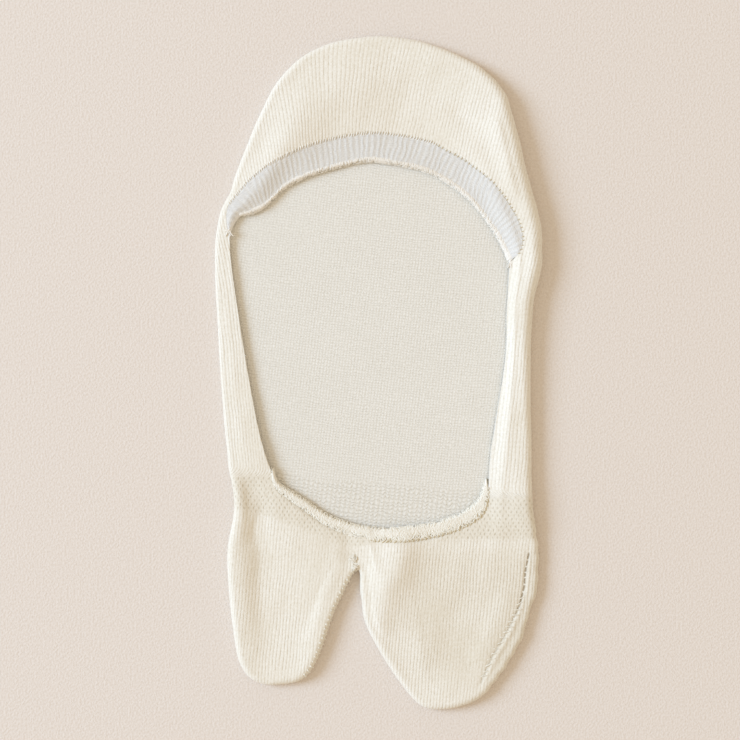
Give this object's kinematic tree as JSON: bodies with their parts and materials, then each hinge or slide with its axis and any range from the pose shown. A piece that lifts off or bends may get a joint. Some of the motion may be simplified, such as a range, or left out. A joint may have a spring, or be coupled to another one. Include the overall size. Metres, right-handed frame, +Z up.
{
  "type": "tabi foot-cover sock",
  "caption": "Low-cut knitted tabi foot cover for a left foot, laid flat, with a separate big-toe pocket, a wide mouth, a ribbed heel elastic and a folded front hem.",
  "frame": {"origin": "on the surface the sock lies on, below the middle of its bounding box", "axes": "+Z up off the surface, +Y towards the heel, -Y towards the toes, -X to the big toe's side"},
  "size_m": [0.0998, 0.2052, 0.0069],
  "materials": {
    "knit": "cream cotton jersey, a mesh band over the instep",
    "rib": "cool off-white ribbed elastic",
    "hem": "cream knit hem, folded and stitched"
  },
  "bodies": {
    "root": {"knit_body": "knit", "heel_elastic": "rib", "front_hem": "hem"}
  },
  "joints": []
}
